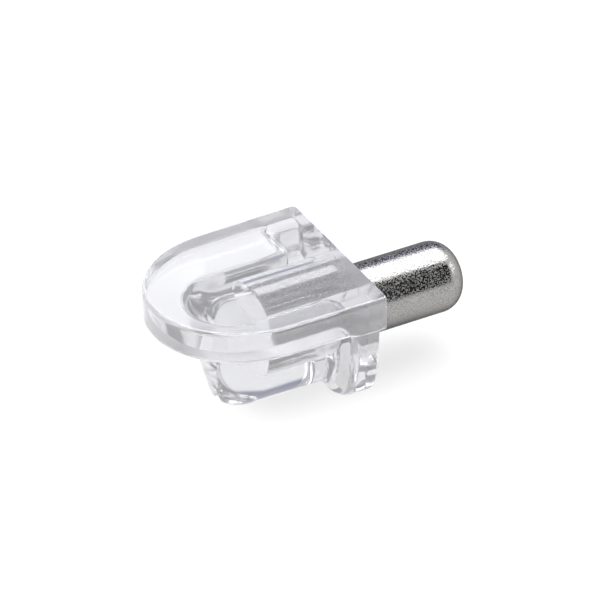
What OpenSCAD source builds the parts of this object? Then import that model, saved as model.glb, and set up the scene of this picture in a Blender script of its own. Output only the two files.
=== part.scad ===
// Shelf support pin: a clear moulded support with a steel pin held in its boss.
// The pin goes into the cabinet side, the wall leg bears on that side,
// and the shelf lies on the seat on top.
//
// The origin is on the pin's axis, at the wall leg's bearing face.
// +X runs along the pin into the cabinet side, +Z is up to the seat, and the part is
// the same on both sides of the plane Y = 0. All sizes are in millimetres.

/* [Pin] */
// Diameter of the pin, and so of the hole it fits
pin_d = 5; // [4:0.1:6.2]
// How far the pin stands out of the wall face
pin_free = 8.9; // [6:0.1:14]
// How far the pin reaches into the plastic
pin_held = 6.9; // [5:0.1:8.5]
// Rounding of the pin's free end
pin_nose_r = 1.65; // [0.3:0.05:1.9]
// Chamfer on the pin's held end
pin_chamfer = 0.25; // [0.1:0.05:0.6]
// Lead-in: how much thinner the pin's held end is, on its diameter
pin_lead = 0.02; // [0.01:0.01:0.1]

/* [Seat] */
// Depth of the seat, from the wall face to its round tip
seat_depth = 14.3; // [12.5:0.1:20]
// Width of the seat at the wall
seat_w = 13.04; // [12:0.1:18]
// How much narrower the seat is where its round tip begins
seat_taper = 0.28; // [0:0.02:1]
// How much of the seat's depth is its round tip
seat_tip = 7; // [3:0.1:9]
// Thickness of the seat
seat_t = 2.45; // [1.5:0.05:4]
// Height of the seat's top above the pin's axis
seat_h = 4.5; // [4.2:0.05:6]
// Rounding of the seat's top edge
seat_top_r = 0.3; // [0.1:0.05:0.6]
// Rounding of the seat's lower edge
seat_low_r = 0.5; // [0.1:0.05:0.8]

/* [Wall leg] */
// Thickness of the wall leg
leg_t = 2; // [1.2:0.1:3.5]
// Width of the wall leg at the height of the pin's axis
leg_w = 11.04; // [9:0.1:12]
// Radius of the wall leg's lower corners
leg_corner_r = 3.05; // [1:0.05:3.5]
// Draft of the wall leg's sides, in degrees
leg_draft = 4; // [0:0.5:6]
// How far the wall leg and the boss reach below the pin's axis
drop = 4.85; // [4:0.05:7]
// Fillet where the wall leg meets the seat
root_r = 0.9; // [0.3:0.05:0.9]

/* [Boss] */
// Plastic beside the pin, at the height of its axis
boss_wall = 0.45; // [0.3:0.05:1.5]
// Reach of the boss from the wall face, at the height of the pin's axis
boss_reach = 10.87; // [10:0.05:12.5]
// Slope of the boss's nose, in degrees
nose_slope = 15.5; // [0:0.5:18]
// Rounding between the nose and the boss's underside
nose_r = 1.05; // [0.3:0.05:1.5]
// Draft of the boss's sides, in degrees
boss_draft = 2.5; // [0:0.5:4]
// Fillet between the boss's sides and the wall leg
web_r = 0.8; // [0.3:0.05:1.2]

/* [Fit] */
// Gap between the pin and its bore, on the radius and at the blind end
held_gap = 0.01; // [0:0.01:0.05]

/* [Hidden] */

arc_step = 6;                             // degrees between the points of an arc
lap = 0.3;                                // how far joined plastic features run into each other
over = 1;                                 // how far a cutter runs past a face

pin_r = pin_d / 2;
bore_r = pin_r + held_gap;
bore_depth = pin_held + held_gap;
seat_under = seat_h - seat_t;             // height of the seat's underside
boss_half = bore_r + boss_wall;           // half the boss's width at the pin's axis
leg_half = leg_w / 2;
leg_top_half = leg_half + seat_under * tan(leg_draft);
seat_half_at_leg = (seat_w - seat_taper * leg_t / (seat_depth - seat_tip)) / 2;
flare_r = min(root_r, seat_half_at_leg - leg_top_half); // the flare ends at the seat's side
belly_r = (boss_half - drop * tan(boss_draft)) / (1 - tan(boss_draft)); // radius of the boss's underside
belly_z = belly_r - drop;                 // height at which that round underside begins
keel = 0.3;                               // half the width of the flat that the underside ends in

// Half the boss's width at height z, where z = 0 is the pin's axis.
function side_at(z) = boss_half + z * tan(boss_draft);

// How far a rounding of radius r has pulled in at height h above the face it ends on.
function pull_in(r, h) = h >= r ? 0 : r - sqrt(max(0, r * r - (r - h) * (r - h)));

// Outline of the seat, pulled in by inset everywhere but at the wall face.
function seat_outline(inset) =
    let (
        root = seat_w / 2 - inset,
        waist = (seat_w - seat_taper) / 2 - inset,
        tip = seat_tip - inset
    )
    concat(
        [[0, root]],
        [for (a = [90 : -arc_step : -90]) [seat_tip - seat_depth - tip * cos(a), waist * sin(a)]],
        [[0, -root]]
    );

// Outline of the boss at height z: straight sides and a round nose that slopes back.
function boss_outline(z) =
    let (
        half = max(keel, side_at(max(z, belly_z)) - pull_in(belly_r, z + drop)),
        reach = boss_reach + z * tan(nose_slope) - pull_in(nose_r, z + drop)
    )
    concat(
        [[-leg_t / 2, half]],
        [for (a = [90 : -arc_step : -90]) [half - reach - half * cos(a), half * sin(a)]],
        [[-leg_t / 2, -half]]
    );

// Outline of the wall leg in Y and Z, from the seat down, with its flared root.
function leg_outline() =
    let (
        low_half = leg_half + (leg_corner_r - drop) * tan(leg_draft),
        right = concat(
            [[leg_top_half + flare_r, seat_under + lap]],
            [for (a = [90 : -arc_step : 0])
                [leg_top_half + flare_r * (1 - cos(a)), seat_under - flare_r * (1 - sin(a))]],
            [for (a = [0 : -arc_step : -90])
                [low_half - leg_corner_r * (1 - cos(a)), leg_corner_r * (1 + sin(a)) - drop]]
        )
    )
    concat(right, [for (i = [len(right) - 1 : -1 : 0]) [-right[i][0], right[i][1]]]);

// An outline lifted to height z.
function ring(outline, z) = [for (p = outline) [p[0], p[1], z]];

// A closed solid through a stack of rings, lowest first, that all have as many points.
module loft(rings) {
    count = len(rings[0]);
    top = len(rings) - 1;
    polyhedron(
        points = [for (one = rings) each one],
        faces = concat(
            [[for (i = [0 : count - 1]) i], [for (i = [count - 1 : -1 : 0]) top * count + i]],
            [for (k = [0 : top - 1], i = [0 : count - 1])
                let (low = k * count, high = low + count, j = (i + 1) % count)
                each [[low + i, high + i, high + j], [low + i, high + j, low + j]]]
        )
    );
}

// The plate that the shelf lies on.
module seat() {
    low = [for (a = [0 : 22.5 : 90]) [seat_under + seat_low_r * (1 - cos(a)), seat_low_r * (1 - sin(a))]];
    top = [for (a = [90 : -22.5 : 0]) [seat_h - seat_top_r * (1 - cos(a)), seat_top_r * (1 - sin(a))]];
    loft([for (edge = concat(low, top)) ring(seat_outline(edge[1]), edge[0])]);
}

// The leg that bears on the cabinet side, with a fillet under the seat.
module wall_leg() {
    translate([-leg_t, 0, 0]) rotate([90, 0, 90]) linear_extrude(leg_t) polygon(leg_outline());
    translate([-leg_t - root_r, -leg_half, seat_under - root_r]) difference() {
        cube([root_r + lap, leg_w, root_r + lap]);
        translate([0, -over, 0]) rotate([-90, 0, 0]) cylinder(r = root_r, h = leg_w + 2 * over, $fn = 48);
    }
}

// The round-bottomed boss that holds the pin, with fillets to the wall leg.
module boss() {
    belly = [for (a = [90 : -10 : 0]) belly_r * (1 - sin(a)) - drop];
    loft([for (z = concat(belly, [seat_under + lap])) ring(boss_outline(z), z)]);
    for (side = [-1, 1]) translate([-leg_t, side * side_at(belly_z), belly_z]) web_fillet(side);
}

// A fillet that fills the corner between a side of the boss and the wall leg.
module web_fillet(side) {
    height = seat_under + lap - belly_z;
    rotate([-side * boss_draft, 0, 0]) translate([-web_r, min(side, 0) * web_r - lap * side / 2, 0]) difference() {
        cube([web_r + lap, web_r, height]);
        translate([0, (side + 1) / 2 * web_r, -over]) cylinder(r = web_r, h = height + 2 * over, $fn = 48);
    }
}

// The clear moulded support, with the blind bore that the pin fills.
module clear_support() {
    color([0.86, 0.88, 0.92, 0.45]) difference() {
        union() {
            seat();
            wall_leg();
            boss();
        }
        translate([-bore_depth, 0, 0]) rotate([0, 90, 0]) cylinder(r = bore_r, h = bore_depth + over, $fn = 96);
    }
}

// Half section of the pin, along its length from the held end, with its free end rounded.
module pin_section() {
    length = pin_held + pin_free;
    held_end_r = pin_r - pin_lead / 2;
    polygon([
        [0, 0], [held_end_r - pin_chamfer, 0], [held_end_r, pin_chamfer], [pin_r, pin_held],
        [pin_r, length - pin_nose_r], [pin_r - pin_nose_r, length], [0, length]
    ]);
    intersection() {
        translate([pin_r - pin_nose_r, length - pin_nose_r]) circle(r = pin_nose_r, $fn = 64);
        translate([pin_r - pin_nose_r, length - pin_nose_r]) square(pin_nose_r);
    }
}

// The plated steel pin.
module steel_pin() {
    color([0.62, 0.62, 0.6]) translate([-pin_held, 0, 0]) rotate([0, 90, 0])
        rotate_extrude($fn = 96) pin_section();
}

clear_support();
steel_pin();
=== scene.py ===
"""Shelf support pin: a clear moulded support with a plated steel pin held in its boss."""

import logging
import math
from dataclasses import dataclass, field
from enum import Enum

import bmesh
import bpy
import numpy as np
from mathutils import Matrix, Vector


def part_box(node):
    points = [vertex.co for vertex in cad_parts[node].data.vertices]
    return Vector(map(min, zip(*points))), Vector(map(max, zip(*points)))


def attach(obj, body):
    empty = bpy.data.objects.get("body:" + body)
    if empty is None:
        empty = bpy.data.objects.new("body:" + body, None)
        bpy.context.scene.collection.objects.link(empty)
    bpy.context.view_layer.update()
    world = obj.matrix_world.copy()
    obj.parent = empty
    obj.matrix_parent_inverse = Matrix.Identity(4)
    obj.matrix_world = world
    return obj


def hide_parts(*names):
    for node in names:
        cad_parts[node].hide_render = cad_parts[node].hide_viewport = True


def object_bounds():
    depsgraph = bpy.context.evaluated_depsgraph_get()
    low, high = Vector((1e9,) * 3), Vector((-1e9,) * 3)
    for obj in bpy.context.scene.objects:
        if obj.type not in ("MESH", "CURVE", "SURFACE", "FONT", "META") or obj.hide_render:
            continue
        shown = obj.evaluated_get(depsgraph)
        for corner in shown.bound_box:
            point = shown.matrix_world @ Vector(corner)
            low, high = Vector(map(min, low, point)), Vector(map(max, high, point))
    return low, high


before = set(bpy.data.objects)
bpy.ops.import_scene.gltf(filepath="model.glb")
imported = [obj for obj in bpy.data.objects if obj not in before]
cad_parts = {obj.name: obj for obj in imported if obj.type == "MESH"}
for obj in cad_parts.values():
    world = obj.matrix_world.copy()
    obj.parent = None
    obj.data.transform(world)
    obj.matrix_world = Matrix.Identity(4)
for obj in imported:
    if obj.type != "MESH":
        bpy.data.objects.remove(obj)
CAD_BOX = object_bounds()
LOG = logging.getLogger("shelf_support_pin")

MM = 0.001               # one millimetre in the frame's metres
BODY = "root"            # nothing moves, so both pieces ride on the one body
SATIN = "satin"          # the face attribute that holds how satin each face is, from 0 to 1
CREASE = 40.0            # degrees between two faces past which their edge is shaded sharp
BORE_GAP = 0.01          # millimetres round the pin and past its held end
WHITE = (1.0, 1.0, 1.0, 1.0)
MAP_RANGE_INPUTS = ("From Min", "From Max", "To Min", "To Max")


class Slot(Enum):
    """The record's material slots."""

    CLEAR = "clear_plastic"
    STEEL = "plated_steel"


def quarter(steps: int, first: float = 0.0, last: float = 90.0) -> np.ndarray:
    """Angles of an arc.

    Args:
        steps: Number of stretches in the arc.
        first: First angle, in degrees.
        last: Last angle, in degrees.

    Returns:
        steps + 1 evenly spaced angles, in radians.
    """
    return np.radians(np.linspace(first, last, steps + 1))


def stretch(start: float, end: float, steps: int) -> np.ndarray:
    """Evenly spaced values after start, up to and including end.

    Args:
        start: Value that is left out.
        end: Last value.
        steps: How many values to give.

    Returns:
        The values, steps of them.
    """
    return np.linspace(start, end, steps + 1)[1:]


def grid_faces(rows: int, columns: int, closed: bool) -> list[tuple[int, ...]]:
    """Quads between neighbouring rows of a grid of points.

    Args:
        rows: Number of rows.
        columns: Number of points in a row.
        closed: Whether each row's last point joins its first.

    Returns:
        One index tuple for each quad.
    """
    across = columns if closed else columns - 1
    row, column = np.meshgrid(np.arange(rows - 1), np.arange(across), indexing="ij")
    near = row * columns + column
    far = row * columns + (column + 1) % columns
    quads = np.stack([near, near + columns, far + columns, far], axis=-1)
    return [tuple(quad) for quad in quads.reshape(-1, 4).tolist()]


def solid(name: str, points: np.ndarray, faces: list[tuple[int, ...]],
          fills: tuple[list[list[int]], ...] = ()) -> bpy.types.Object:
    """Makes a closed mesh object from points in millimetres.

    Args:
        name: The piece's name.
        points: Array of shape (count, 3), in millimetres.
        faces: Index tuples of the faces.
        fills: Groups of loops of point numbers. Each group bounds one flat face, whose further
            loops are its holes.

    Returns:
        The object, at the origin, with its faces pointing outwards.
    """
    mesh = bpy.data.meshes.new(name)
    mesh.from_pydata((points * MM).tolist(), [], faces)
    work = bmesh.new()
    work.from_mesh(mesh)
    work.verts.ensure_lookup_table()
    for loops in fills:
        edges = []
        for loop in loops:
            for one, other in zip(loop, loop[1:] + loop[:1]):
                pair = (work.verts[one], work.verts[other])
                edges.append(work.edges.get(pair) or work.edges.new(pair))
        bmesh.ops.triangle_fill(work, use_beauty=True, use_dissolve=False, edges=edges)
    bmesh.ops.recalc_face_normals(work, faces=work.faces)
    work.to_mesh(mesh)
    work.free()
    piece = bpy.data.objects.new(name, mesh)
    bpy.context.scene.collection.objects.link(piece)
    return piece


def shade(piece: bpy.types.Object) -> None:
    """Shades a piece smoothly, sharp past the crease angle, and keeps flat faces' normals flat.

    Args:
        piece: The object to shade.
    """
    piece.data.shade_smooth()
    piece.data.set_sharp_from_angle(angle=math.radians(CREASE))
    weights = piece.modifiers.new("flat faces first", "WEIGHTED_NORMAL")
    weights.mode = "FACE_AREA"
    weights.keep_sharp = True


def signed_volume(piece: bpy.types.Object) -> float:
    """Volume inside a piece, which is positive where its faces point outwards.

    Args:
        piece: The closed mesh object to measure.

    Returns:
        The volume, in cubic millimetres.
    """
    work = bmesh.new()
    work.from_mesh(piece.data)
    volume = work.calc_volume(signed=True) / MM ** 3
    work.free()
    return volume


class Shader:
    """A small helper that lays out one material's nodes."""

    def __init__(self, name: str) -> None:
        """Starts a material with a Principled shader and its output.

        Args:
            name: The material's name.
        """
        self.material = bpy.data.materials.new(name)
        self.material.use_nodes = True
        self.nodes = self.material.node_tree.nodes
        self.links = self.material.node_tree.links
        self.surface = self.nodes["Principled BSDF"]

    def add(self, kind: str, **values: object) -> bpy.types.Node:
        """Adds a node.

        Args:
            kind: The node's type name.
            values: Its properties, or its inputs by name with spaces as underscores.

        Returns:
            The node.
        """
        node = self.nodes.new(kind)
        for key, value in values.items():
            socket = node.inputs.get(key.replace("_", " ").title())
            if socket is not None and not hasattr(node, key):
                socket.default_value = value
            else:
                setattr(node, key, value)
        return node

    def join(self, source: bpy.types.NodeSocket, target: bpy.types.NodeSocket) -> None:
        """Links one socket to another.

        Args:
            source: The output that gives the value.
            target: The input that takes it.
        """
        self.links.new(source, target)

    def in_millimetres(self, along: float = 1.0) -> bpy.types.NodeSocket:
        """Object coordinates counted in millimetres, so that pattern scales read as real sizes.

        Args:
            along: Factor on X, so that below 1 a pattern is drawn out along the pin.

        Returns:
            The coordinates.
        """
        place = self.add("ShaderNodeTexCoord")
        scale = self.add("ShaderNodeMapping")
        scale.inputs["Scale"].default_value = (along / MM, 1 / MM, 1 / MM)
        self.join(place.outputs["Object"], scale.inputs["Vector"])
        return scale.outputs["Vector"]

    def noise(self, place: bpy.types.NodeSocket, scale: float,
              detail: float) -> bpy.types.NodeSocket:
        """A noise pattern's value.

        Args:
            place: Coordinates in millimetres.
            scale: Features per millimetre.
            detail: How many finer layers it holds.

        Returns:
            The pattern's value, about 0.5 on average.
        """
        pattern = self.add("ShaderNodeTexNoise", scale=scale, detail=detail)
        self.join(place, pattern.inputs["Vector"])
        return pattern.outputs["Fac"]

    def between(self, value: bpy.types.NodeSocket, low: tuple[float, float],
                high: tuple[float, float]) -> bpy.types.NodeSocket:
        """Maps a value from one range to another.

        Args:
            value: The value to map.
            low: Where the range starts, in the value and in the result.
            high: Where it ends, in the value and in the result.

        Returns:
            The mapped value, held within the result's range.
        """
        reach = self.add("ShaderNodeMapRange")
        numbers = (low[0], high[0], low[1], high[1])
        for name, number in zip(MAP_RANGE_INPUTS, numbers):
            reach.inputs[name].default_value = number
        self.join(value, reach.inputs["Value"])
        return reach.outputs["Result"]

    def bump(self, height: bpy.types.NodeSocket, depth_mm: float, width: float) -> None:
        """Gives the surface a relief, at full strength.

        Args:
            height: The relief's height, from 0 to 1.
            depth_mm: Its full depth, in millimetres.
            width: How wide a step its slope is read over.
        """
        relief = self.add("ShaderNodeBump")
        relief.inputs["Filter Width"].default_value = width
        relief.inputs["Strength"].default_value = 1.0
        relief.inputs["Distance"].default_value = depth_mm * MM
        self.join(height, relief.inputs["Height"])
        self.join(relief.outputs["Normal"], self.surface.inputs["Normal"])


@dataclass(frozen=True)
class ClearPlastic:
    """Clear moulded plastic: glossy, a little milky, with faint flow lines along the pin."""

    tint: tuple[float, float, float] = (0.74, 0.74, 0.755)
    clearness: float = 0.86       # share of the light that passes clean through
    ior: float = 1.49
    gloss: tuple[float, float] = (0.01, 0.05)         # roughness, least and most
    gloss_scale: float = 2.2      # gloss patches per millimetre
    gloss_detail: float = 3.0
    gloss_band: tuple[float, float] = (0.35, 0.7)     # noise values at the least and most
    satin: float = 0.3            # roughness that a wholly satin face adds
    flow_scale: float = 1.3       # flow lines per millimetre
    flow_length: float = 9.0      # how many times longer than wide they are
    flow_detail: float = 2.0
    flow_depth: float = 0.003     # millimetres
    flow_width: float = 1.0       # how wide a step the relief's slope is read over

    def material(self) -> bpy.types.Material:
        """Builds the material.

        Returns:
            The material, whose roughness is the noise's gloss plus the satin faces' share.
        """
        shader = Shader("clear_plastic")
        socket = shader.surface.inputs
        socket["Base Color"].default_value = (*self.tint, 1.0)
        socket["IOR"].default_value = self.ior
        socket["Transmission Weight"].default_value = self.clearness
        place = shader.in_millimetres()
        fine = shader.noise(place, self.gloss_scale, self.gloss_detail)
        gloss = shader.between(fine, *zip(self.gloss_band, self.gloss))
        satin = shader.add("ShaderNodeAttribute", attribute_name=SATIN)
        rough = shader.add("ShaderNodeMath", operation="MULTIPLY_ADD")
        rough.inputs[1].default_value = self.satin
        shader.join(satin.outputs["Fac"], rough.inputs[0])
        shader.join(gloss, rough.inputs[2])
        shader.join(rough.outputs["Value"], socket["Roughness"])
        drawn_out = shader.in_millimetres(along=1 / self.flow_length)
        flow = shader.noise(drawn_out, self.flow_scale, self.flow_detail)
        shader.bump(flow, self.flow_depth, self.flow_width)
        return shader.material


@dataclass(frozen=True)
class PlatedSteel:
    """Bright plating over drawn steel, with a fine speckle of tiny crystals."""

    pale: tuple[float, float, float] = (0.37, 0.364, 0.356)
    dark: tuple[float, float, float] = (0.30, 0.295, 0.29)
    tone_band: tuple[float, float] = (0.35, 0.55)     # noise values at the dark and pale tones
    matt: tuple[float, float] = (0.50, 0.09)          # roughness, matt grain then polished
    matt_band: tuple[float, float] = (0.44, 0.50)     # noise values of those two
    # edge: the plating's colour at grazing angles, set darker than its face as painted shade, so
    # the pin's rims read dark as if they reflected the shadow under the pin
    edge: tuple[float, float, float] = (0.22, 0.215, 0.21)
    speckle: float = 10.0         # grains per millimetre
    speckle_detail: float = 1.0
    crystals: float = 10.0        # crystals per millimetre
    relief: float = 0.006         # millimetres
    relief_width: float = 0.1     # how wide a step the relief's slope is read over

    def material(self) -> bpy.types.Material:
        """Builds the material.

        Returns:
            The material, with one noise driving both its tone and its roughness.
        """
        shader = Shader("plated_steel")
        socket = shader.surface.inputs
        socket["Metallic"].default_value = 1.0
        # painted shade: the darker grazing-angle colour that darkens the pin's rims
        socket["Specular Tint"].default_value = (*self.edge, 1.0)
        place = shader.in_millimetres()
        grain = shader.noise(place, self.speckle, self.speckle_detail)
        tone = shader.add("ShaderNodeMix", data_type="RGBA")
        tone.inputs["A"].default_value = (*self.dark, 1.0)
        tone.inputs["B"].default_value = (*self.pale, 1.0)
        share = shader.between(grain, *zip(self.tone_band, (0.0, 1.0)))
        shader.join(share, tone.inputs["Factor"])
        shader.join(tone.outputs["Result"], socket["Base Color"])
        rough = shader.between(grain, *zip(self.matt_band, self.matt))
        shader.join(rough, socket["Roughness"])
        crystal = shader.add("ShaderNodeTexVoronoi", scale=self.crystals)
        shader.join(place, crystal.inputs["Vector"])
        shader.bump(crystal.outputs["Distance"], self.relief, self.relief_width)
        return shader.material


@dataclass(frozen=True)
class PaleFloor:
    """A plain matt light table, which glows evenly so that shadows on it stay faint."""

    colour: tuple[float, float, float] = (0.34, 0.34, 0.34)
    roughness: float = 0.9
    shine: float = 0.1
    glow: float = 0.63

    def material(self) -> bpy.types.Material:
        """Builds the material.

        Returns:
            The material.
        """
        shader = Shader("pale_floor")
        socket = shader.surface.inputs
        socket["Base Color"].default_value = (*self.colour, 1.0)
        socket["Roughness"].default_value = self.roughness
        socket["Specular IOR Level"].default_value = self.shine
        socket["Emission Color"].default_value = WHITE
        socket["Emission Strength"].default_value = self.glow
        return shader.material


@dataclass
class SteelPin:
    """The straight steel pin. Sizes are in millimetres, and its axis is the frame's X axis."""

    held: float                   # from the wall face to the held end
    free: float                   # from the wall face to the free end
    radius: float
    nose: float = 1.65            # rounding of the free end
    chamfer: float = 0.25         # chamfer of the held end
    lead: float = 0.02            # how much thinner across the held end is
    around: int = 192             # points round the pin
    nose_steps: int = 20
    held_rows: int = 18
    free_rows: int = 22
    finish: PlatedSteel = field(default_factory=PlatedSteel)

    def profile(self) -> np.ndarray:
        """Half section of the pin, from its chamfered held end to its rounded free end.

        The held stretch widens evenly to the full radius at the wall face, the free stretch is
        straight, and a quarter circle turns it into the flat end.

        Returns:
            Array of shape (count, 2): place along the axis and radius, from the held end.
        """
        turn = quarter(self.nose_steps)
        nose_x = self.free - self.nose * (1 - np.sin(turn))
        nose_r = self.radius - self.nose * (1 - np.cos(turn))
        held_x = np.linspace(self.chamfer - self.held, 0, self.held_rows)
        held_r = np.linspace(self.radius - self.lead / 2, self.radius, len(held_x))
        free_x = stretch(0, self.free - self.nose, self.free_rows)[:-1]
        along = np.r_[-self.held, held_x, free_x, nose_x]
        out = np.r_[held_r[0] - self.chamfer, held_r, np.full(len(free_x), self.radius), nose_r]
        return np.stack([along, out], axis=-1)

    def build(self) -> bpy.types.Object:
        """Carries the profile once round the axis, with a flat disc at each end.

        A point of the profile at radius r goes to y = r cos(a) and z = r sin(a) for each angle a.

        Returns:
            The pin.
        """
        profile = self.profile()
        angle = np.linspace(0, 2 * np.pi, self.around, endpoint=False)
        along, radius = profile[:, :1], profile[:, 1:]
        y, z = radius * np.cos(angle), radius * np.sin(angle)
        points = np.stack(np.broadcast_arrays(along, y, z), axis=-1)
        rows = len(profile)
        first = list(range(self.around))
        last = [(rows - 1) * self.around + i for i in first]
        faces = grid_faces(rows, self.around, closed=True) + [tuple(first), tuple(last)]
        piece = solid("steel_pin_body", points.reshape(-1, 3), faces)
        shade(piece)
        return piece

    def dress(self, piece: bpy.types.Object) -> None:
        """Gives the pin its finish and its place in the frame.

        Args:
            piece: The pin.
        """
        piece.data.materials.append(self.finish.material())
        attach(piece, BODY)
        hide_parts("steel_pin")


@dataclass
class ClearSupport:
    """The clear moulded support: seat, wall leg and boss in one skin. Sizes are in millimetres.

    The skin is a stack of half rings, from the seat's top down to the underside. Each ring runs
    from the wall face round the front and back to the wall face, and all have as many points.
    The wall face closes them, with the bore's mouth as its hole.
    """

    depth: float                  # from the wall face to the seat's tip
    half_width: float             # half the seat's width at the wall
    top: float                    # height of the seat's top above the pin's axis
    drop: float                   # reach of leg and boss below the pin's axis
    bore_radius: float
    bore_depth: float
    thickness: float = 2.45       # of the seat
    taper: float = 0.14           # how much each side of the seat draws in
    tip: float = 7.0              # depth of the seat's round tip
    top_round: float = 0.3
    low_round: float = 0.5
    low_round_at_leg: float = 0.05
    back_round: float = 0.25      # rounding of the upright edges at the wall
    leg: float = 2.0              # thickness of the wall leg
    leg_half: float = 5.52        # half its width at the pin's axis
    leg_corner: float = 3.05
    leg_draft: float = 4.0        # degrees
    leg_round: float = 0.6        # rounding of the leg's front edges
    leg_gap: float = 0.1          # how far short of the seat's side the leg's flare stops
    near_leg: tuple[float, ...] = (0.15, 0.8, 1.5)    # where rings have points past the leg
    root: float = 0.85            # fillet under the seat
    boss_half: float = 2.96       # half the boss's width at the pin's axis
    boss_draft: float = 2.5       # degrees
    boss_reach: float = 10.87
    boss_root: float = 0.35       # how far the boss flares under the seat
    nose_slope: float = 15.5      # degrees
    nose_round: float = 1.05
    web: float = 0.8              # fillet between boss and leg
    web_share: float = 0.5        # share of the root's flare that the web gives way by
    keel: float = 0.14            # half the width that the boss's underside ends in
    # Stretches of half a ring: the corner at the wall, five along the side, and the tip or nose.
    counts: tuple[int, ...] = (8, 6, 8, 8, 10, 14, 40)
    top_steps: int = 8            # rings down the seat's top rounding
    low_steps: int = 10           # rings down its lower rounding
    root_steps: int = 10          # rings down the root's fillet
    straight_steps: int = 4       # rings down the straight part below it
    belly_steps: int = 28         # rings down to the underside
    belly_turn: float = 88.0      # degrees of the sine that crowds those rings
    around_bore: int = 160
    bore_rows: int = 12
    satin_under: float = 0.5      # of the seat's underside and the root
    satin_side: float = 0.6       # of the seat's flat sides
    satin_tip_steps: int = 10     # stretches of the tip that count as flat side
    finish: ClearPlastic = field(default_factory=ClearPlastic)

    @property
    def under(self) -> float:
        """Height of the seat's underside.

        Returns:
            The height above the pin's axis.
        """
        return self.top - self.thickness

    @property
    def belly(self) -> float:
        """Radius of the boss's round underside.

        Returns:
            The radius, which is the boss's half width where the round underside begins.
        """
        lean = math.tan(math.radians(self.boss_draft))
        return (self.boss_half - self.drop * lean) / (1 - lean)

    @staticmethod
    def pulled_in(radius: float, height: np.ndarray) -> np.ndarray:
        """How far a quarter-circle rounding has drawn in, as r - sqrt(r^2 - (r - h)^2).

        Args:
            radius: The rounding's radius r.
            height: Heights h above the face that it ends on.

        Returns:
            The distances drawn in, of height's shape.
        """
        short = np.clip(radius - height, 0, radius)
        return radius - np.sqrt(radius ** 2 - short ** 2)

    def seat_side(self, x: np.ndarray) -> np.ndarray:
        """Half the seat's width along its straight, slightly tapered side.

        Args:
            x: Places along X.

        Returns:
            The half widths, of x's shape.
        """
        return self.half_width + self.taper * x / (self.depth - self.tip)

    def mirrored(self, x: np.ndarray, y: np.ndarray) -> tuple[np.ndarray, np.ndarray]:
        """Carries a half ring, whose last point is on Y = 0, round to the wall face again.

        Args:
            x: The half ring's x values, along the last axis.
            y: Its y values.

        Returns:
            The whole ring's x and y.
        """
        whole_x = np.concatenate([x, x[..., -2::-1]], -1)
        return whole_x, np.concatenate([y, -y[..., -2::-1]], -1)

    def seat_ring(self, inset: np.ndarray) -> tuple[np.ndarray, np.ndarray]:
        """The seat's outline: a rounded corner at the wall, a tapered side and half an ellipse.

        Args:
            inset: How far each point is drawn in, of shape (rings, points of half a ring).

        Returns:
            The outline's x and y, each of shape (rings, points of a ring).
        """
        n = self.counts
        turn = quarter(n[0])
        past_leg = [-self.leg - past for past in self.near_leg]
        ends = (-self.back_round, -self.leg, *past_leg, self.tip - self.depth)
        side_x = np.concatenate([stretch(a, b, k) for a, b, k in zip(ends, ends[1:], n[1:6])])
        tip_turn = quarter(n[6])[1:]
        centre = self.tip - self.depth
        corner_x = -self.back_round * (1 - np.cos(turn))
        corner_y = self.seat_side(-self.back_round) - self.back_round * (1 - np.sin(turn))
        waist = self.half_width - self.taper
        x = np.r_[corner_x, side_x, centre - self.tip * np.sin(tip_turn)]
        y = np.r_[corner_y, self.seat_side(side_x), waist * np.cos(tip_turn)]
        normal_x = np.r_[0 * turn, 0 * side_x, -np.sin(tip_turn)]
        normal_y = np.r_[1 + 0 * turn, 1 + 0 * side_x, np.cos(tip_turn)]
        return self.mirrored(x - inset * normal_x, y - inset * normal_y)

    def lower_ring(self, z: np.ndarray, flare: np.ndarray) -> tuple[np.ndarray, np.ndarray]:
        """The outline of leg and boss: leg end, leg front, web fillet, boss side and nose.

        Args:
            z: Heights, of shape (rings, 1).
            flare: How much of the root's fillet shows at each height, from 0 to 1, of that shape.

        Returns:
            The outline's x and y, each of shape (rings, points of a ring).
        """
        n = self.counts
        above = z + self.drop
        leg_lean, boss_lean, nose_lean = (
            math.tan(math.radians(angle))
            for angle in (self.leg_draft, self.boss_draft, self.nose_slope))
        leg_top = self.leg_half + self.under * leg_lean
        out_end = self.seat_side(-self.leg) - self.leg_gap - leg_top
        leaned = self.leg_half + np.maximum(z, self.leg_corner - self.drop) * leg_lean
        leg = leaned - self.pulled_in(self.leg_corner, above) + out_end * flare
        front = self.leg + self.root * flare
        belly_z = self.belly - self.drop
        side = self.boss_half + np.maximum(z, belly_z) * boss_lean
        side = np.maximum(self.keel, side - self.pulled_in(self.belly, above))
        reach = self.boss_reach + z * nose_lean - self.pulled_in(self.nose_round, above)
        centre = side - reach
        side = side + self.boss_root * flare
        web = self.web - self.web_share * self.root * flare
        back, edge = self.back_round, self.leg_round
        turn = quarter(n[0])
        x = [-back * (1 - np.cos(turn)) + 0 * z]
        y = [leg - back * (1 - np.sin(turn))]
        x.append(-back + (edge - front + back) * stretch(0, 1, n[1]))
        y.append(leg + 0 * stretch(0, 1, n[1]))
        turn = quarter(n[2])[1:]
        x.append(edge - front - edge * np.sin(turn))
        y.append(leg - edge * (1 - np.cos(turn)))
        share = stretch(0, 1, n[3])
        x.append(-front + 0 * share)
        y.append((leg - edge) * (1 - share) + (side + web) * share)
        turn = quarter(n[4])[1:]
        x.append(-front - web * (1 - np.cos(turn)))
        y.append(side + web * (1 - np.sin(turn)))
        share = stretch(0, 1, n[5])
        x.append((-front - web) * (1 - share) + centre * share)
        y.append(side + 0 * share)
        turn = quarter(n[6])[1:]
        x.append(centre - side * np.sin(turn))
        y.append(side * np.cos(turn))
        return self.mirrored(np.concatenate(x, -1), np.concatenate(y, -1))

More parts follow.
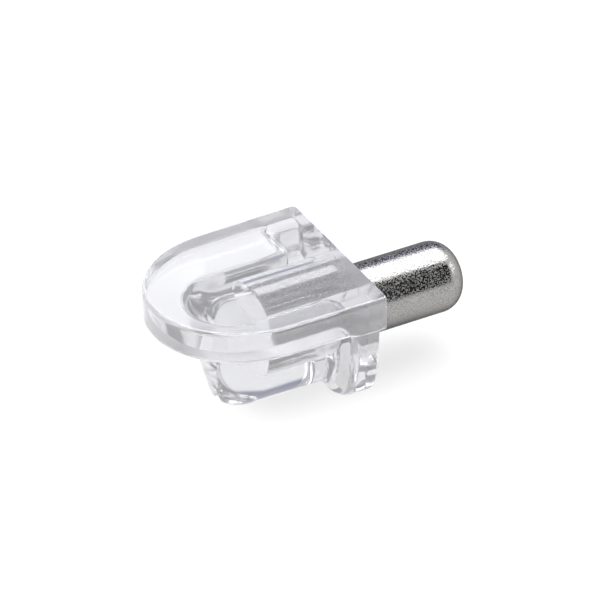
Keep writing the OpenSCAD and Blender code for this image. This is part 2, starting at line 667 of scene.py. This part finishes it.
    def low_rounds(self) -> np.ndarray:
        """Radius of the seat's lower edge, which is almost none over the leg.

        Past the leg it grows smoothly to its full size, as t^2 (3 - 2 t) for a share t of the way.

        Returns:
            One radius for each point of half a ring.
        """
        n = np.cumsum(self.counts)
        radius = np.full(n[-1] + 1, self.low_round)
        least = self.low_round_at_leg
        radius[: n[1] + 1] = least
        blend = np.linspace(0, 1, n[3] - n[1] + 1)
        radius[n[1]: n[3] + 1] = least + (self.low_round - least) * blend ** 2 * (3 - 2 * blend)
        return radius

    def skin(self) -> np.ndarray:
        """Every ring of the skin, from the seat's top to the underside.

        The seat's edges are quarter circles, the root is a quarter of an inner rounding that
        turns the underside into the leg and boss, and below it the heights crowd together
        towards the underside as a sine does.

        Returns:
            Array of shape (rings, points of a ring, 3), in millimetres.
        """
        points = sum(self.counts) + 1
        turn = quarter(self.top_steps)[:, None]
        top_inset = self.top_round * (1 - np.sin(turn)) + np.zeros(points)
        top_z = self.top - self.top_round * (1 - np.cos(turn)) + np.zeros(points)
        radius = self.low_rounds()
        turn = quarter(self.low_steps)[:, None]
        low_inset = radius * (1 - np.cos(turn))
        low_z = self.under + radius * (1 - np.sin(turn))
        seat_x, seat_y = self.seat_ring(np.concatenate([top_inset, low_inset]))
        half_z = np.concatenate([top_z, low_z])
        seat_z = np.concatenate([half_z, half_z[:, -2::-1]], -1)
        turn = quarter(self.root_steps)[:, None]
        straight = stretch(self.under - self.root, self.leg_corner - self.drop,
                           self.straight_steps)[:, None]
        crowd = np.sin(quarter(self.belly_steps, 0, self.belly_turn)[1:, None])
        round_z = straight[-1] - (self.drop + straight[-1]) * crowd
        round_z[-1] = -self.drop
        z = np.concatenate([self.under - self.root * (1 - np.cos(turn)), straight, round_z])
        flare = np.concatenate([1 - np.sin(turn), 0 * straight, 0 * round_z])
        low_x, low_y = self.lower_ring(z, flare)
        seat = np.stack([seat_x, seat_y, seat_z], -1)
        lower = np.stack([low_x, low_y, np.broadcast_to(z, low_x.shape)], -1)
        return np.concatenate([seat, lower])

    def bore(self) -> np.ndarray:
        """Rings of the bore, from its mouth in the wall face to its blind end.

        Returns:
            Array of shape (rings, points of a ring, 3), in millimetres.
        """
        angle = np.linspace(0, 2 * np.pi, self.around_bore, endpoint=False)
        x = np.linspace(0, -self.bore_depth, self.bore_rows)[:, None]
        y, z = self.bore_radius * np.cos(angle), self.bore_radius * np.sin(angle)
        return np.stack(np.broadcast_arrays(x, y, z), -1)

    def build(self) -> bpy.types.Object:
        """Joins the skin, the wall face with the bore's mouth in it, and the bore.

        Returns:
            The support.
        """
        skin, bore = self.skin(), self.bore()
        rings, points = skin.shape[:2]
        start = rings * points
        faces = grid_faces(rings, points, closed=False)
        faces.append(tuple(range(points)))
        faces.append(tuple(range(start - points, start)))
        bore_faces = grid_faces(len(bore), self.around_bore, closed=True)
        faces += [tuple(start + i for i in face) for face in bore_faces]
        end = start + len(bore) * self.around_bore
        faces.append(tuple(range(end - self.around_bore, end)))
        left = [ring * points for ring in range(rings)]
        right = [ring * points + points - 1 for ring in range(rings)]
        wall = left + right[::-1]
        mouth = list(range(start, start + self.around_bore))
        all_points = np.concatenate([skin.reshape(-1, 3), bore.reshape(-1, 3)])
        piece = solid("clear_support_body", all_points, faces, ([wall, mouth],))
        self.mark_satin(piece, rings, points)
        shade(piece)
        return piece

    def mark_satin(self, piece: bpy.types.Object, rings: int, points: int) -> None:
        """Marks the satin faces: the seat's underside with its root, and its flat sides.

        Args:
            piece: The support, whose first faces are the skin's grid, ring by ring.
            rings: Number of rings.
            points: Number of points in a ring.
        """
        satin = np.zeros((rings - 1, points - 1), dtype=np.float32)
        root_start = self.top_steps + 1 + self.low_steps + 1
        satin[root_start - 2: root_start + self.root_steps] = self.satin_under
        side = sum(self.counts[:-1]) + self.satin_tip_steps
        satin[self.top_steps, :side] = satin[self.top_steps, -side:] = self.satin_side
        values = np.zeros(len(piece.data.polygons), dtype=np.float32)
        values[: satin.size] = satin.ravel()
        piece.data.attributes.new(SATIN, "FLOAT", "FACE").data.foreach_set("value", values)

    def dress(self, piece: bpy.types.Object) -> None:
        """Gives the support its finish and its place in the frame.

        Args:
            piece: The support.
        """
        piece.data.materials.append(self.finish.material())
        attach(piece, BODY)
        piece.visible_shadow = False          # clear plastic lets the lamp's light through
        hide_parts("clear_support")


@dataclass(frozen=True)
class Patch:
    """One darker or brighter patch of the room, round a direction that is seen from the part.

    Attributes:
        tone: Its colour.
        toward: The direction of its middle.
        squeeze: How much narrower than round it is along X, Y and Z.
        full: How far from its middle it is at full strength, on a sphere of radius 1.
        end: How far from its middle it has faded out.
    """

    tone: tuple[float, float, float]
    toward: tuple[float, float, float]
    squeeze: tuple[float, float, float]
    full: float
    end: float


@dataclass
class Studio:
    """The floor, the light and the camera round the part. Lengths are in metres."""

    floor_height: float
    azimuth: float = -29.046      # degrees
    elevation: float = 34.174     # degrees
    distance: float = 0.4
    lens: float = 355.06          # millimetres
    sensor: float = 36.0          # millimetres wide
    clip: tuple[float, float] = (0.01, 20.0)
    slide: tuple[float, float] = (-2.687 * MM, 0.403 * MM)
    floor_size: float = 4.0
    room: tuple[float, float, float] = (1.15, 1.15, 1.17)
    patches: tuple[Patch, ...] = (
        Patch(tone=(0.15, 0.16, 0.30), toward=(0.40, 0.80, 0.45), squeeze=(0.5, 1, 1),
              full=0.26, end=0.42),
        Patch(tone=(0.03, 0.03, 0.03), toward=(0.40, -0.71, 0.58), squeeze=(2, 1, 1),
              full=0.54, end=0.64),
        Patch(tone=(2.8, 2.8, 2.8), toward=(0.86, -0.32, 0.40), squeeze=(1, 1, 1),
              full=0.18, end=0.26),
    )
    lamp_place: tuple[float, float, float] = (0.20, 0.165, 0.45)
    lamp_size: tuple[float, float] = (0.55, 0.36)
    lamp_power: float = 2.1       # watts

    def floor(self) -> None:
        """A flat square under the part."""
        half = self.floor_size / 2
        corners = np.array([(-half, -half), (half, -half), (half, half), (-half, half)])
        points = np.c_[corners, np.full(4, self.floor_height)]
        mesh = bpy.data.meshes.new("floor")
        mesh.from_pydata(points.tolist(), [], [(0, 1, 2, 3)])
        plane = bpy.data.objects.new("floor", mesh)
        bpy.context.scene.collection.objects.link(plane)
        mesh.materials.append(PaleFloor().material())

    def lamp(self) -> None:
        """Hangs one broad, soft rectangular light behind the part, facing it."""
        data = bpy.data.lights.new("overhead", "AREA")
        data.shape = "RECTANGLE"
        data.size, data.size_y = self.lamp_size
        data.energy = self.lamp_power
        lamp = bpy.data.objects.new("overhead", data)
        lamp.location = self.lamp_place
        lamp.rotation_mode = "QUATERNION"
        lamp.rotation_quaternion = (-Vector(self.lamp_place)).to_track_quat("-Z", "Y")
        bpy.context.scene.collection.objects.link(lamp)

    def lit_room(self) -> None:
        """A pale room with darker and brighter patches, which reads white to the camera."""
        world = bpy.data.worlds.new("room")
        bpy.context.scene.world = world
        world.use_nodes = True
        nodes, links = world.node_tree.nodes, world.node_tree.links
        heading = nodes.new("ShaderNodeTexCoord").outputs["Generated"]
        room = nodes.new("ShaderNodeRGB")
        room.outputs["Color"].default_value = (*self.room, 1.0)
        colour = room.outputs["Color"]
        for patch in self.patches:
            away = nodes.new("ShaderNodeVectorMath")
            away.operation = "SUBTRACT"
            away.inputs[1].default_value = Vector(patch.toward).normalized()
            links.new(heading, away.inputs[0])
            squeezed = nodes.new("ShaderNodeVectorMath")
            squeezed.operation = "MULTIPLY"
            squeezed.inputs[1].default_value = patch.squeeze
            links.new(away.outputs["Vector"], squeezed.inputs[0])
            length = nodes.new("ShaderNodeVectorMath")
            length.operation = "LENGTH"
            links.new(squeezed.outputs["Vector"], length.inputs[0])
            share = nodes.new("ShaderNodeMapRange")
            share.interpolation_type = "SMOOTHSTEP"
            for name, number in zip(MAP_RANGE_INPUTS, (patch.full, patch.end, 1.0, 0.0)):
                share.inputs[name].default_value = number
            links.new(length.outputs["Value"], share.inputs["Value"])
            mix = nodes.new("ShaderNodeMix")
            mix.data_type = "RGBA"
            mix.inputs["B"].default_value = (*patch.tone, 1.0)
            links.new(share.outputs["Result"], mix.inputs["Factor"])
            links.new(colour, mix.inputs["A"])
            colour = mix.outputs["Result"]
        seen = nodes.new("ShaderNodeMix")
        seen.data_type = "RGBA"
        seen.inputs["B"].default_value = WHITE
        links.new(nodes.new("ShaderNodeLightPath").outputs["Is Camera Ray"], seen.inputs["Factor"])
        links.new(colour, seen.inputs["A"])
        links.new(seen.outputs["Result"], nodes["Background"].inputs["Color"])

    def camera(self) -> None:
        """A long lens at the viewing angle, looking along the line that the angles give."""
        turn, lift = math.radians(self.azimuth), math.radians(self.elevation)
        back = Vector((math.sin(turn) * math.cos(lift), -math.cos(turn) * math.cos(lift),
                       math.sin(lift)))
        right = Vector((math.cos(turn), math.sin(turn), 0.0))
        data = bpy.data.cameras.new("camera")
        data.sensor_width = self.sensor
        data.lens = self.lens
        data.clip_start, data.clip_end = self.clip
        eye = bpy.data.objects.new("camera", data)
        eye.location = (back * self.distance + right * self.slide[0]
                        + back.cross(right) * self.slide[1])
        eye.rotation_mode = "QUATERNION"
        eye.rotation_quaternion = (-back).to_track_quat("-Z", "Y")
        bpy.context.scene.collection.objects.link(eye)
        bpy.context.scene.camera = eye


def main() -> None:
    """Builds the studio and both pieces."""
    logging.basicConfig(level=logging.INFO, format="%(name)s: %(message)s")
    low, high = (np.array(corner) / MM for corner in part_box("clear_support"))
    pin_low, pin_high = (np.array(corner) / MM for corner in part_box("steel_pin"))
    studio = Studio(floor_height=CAD_BOX[0].z)
    studio.floor()
    studio.lamp()
    studio.lit_room()
    studio.camera()
    bpy.context.scene.view_settings.view_transform = "Standard"
    radius = pin_high[2]
    pin = SteelPin(held=-pin_low[0], free=pin_high[0], radius=radius)
    support = ClearSupport(depth=-low[0], half_width=high[1], top=high[2], drop=-low[2],
                           bore_radius=radius + BORE_GAP, bore_depth=-pin_low[0] + BORE_GAP)
    for maker in (pin, support):
        piece = maker.build()
        maker.dress(piece)
        LOG.info("%s: %d faces, %.1f cubic mm",
                 piece.name, len(piece.data.polygons), signed_volume(piece))


if __name__ == "__main__":
    main()
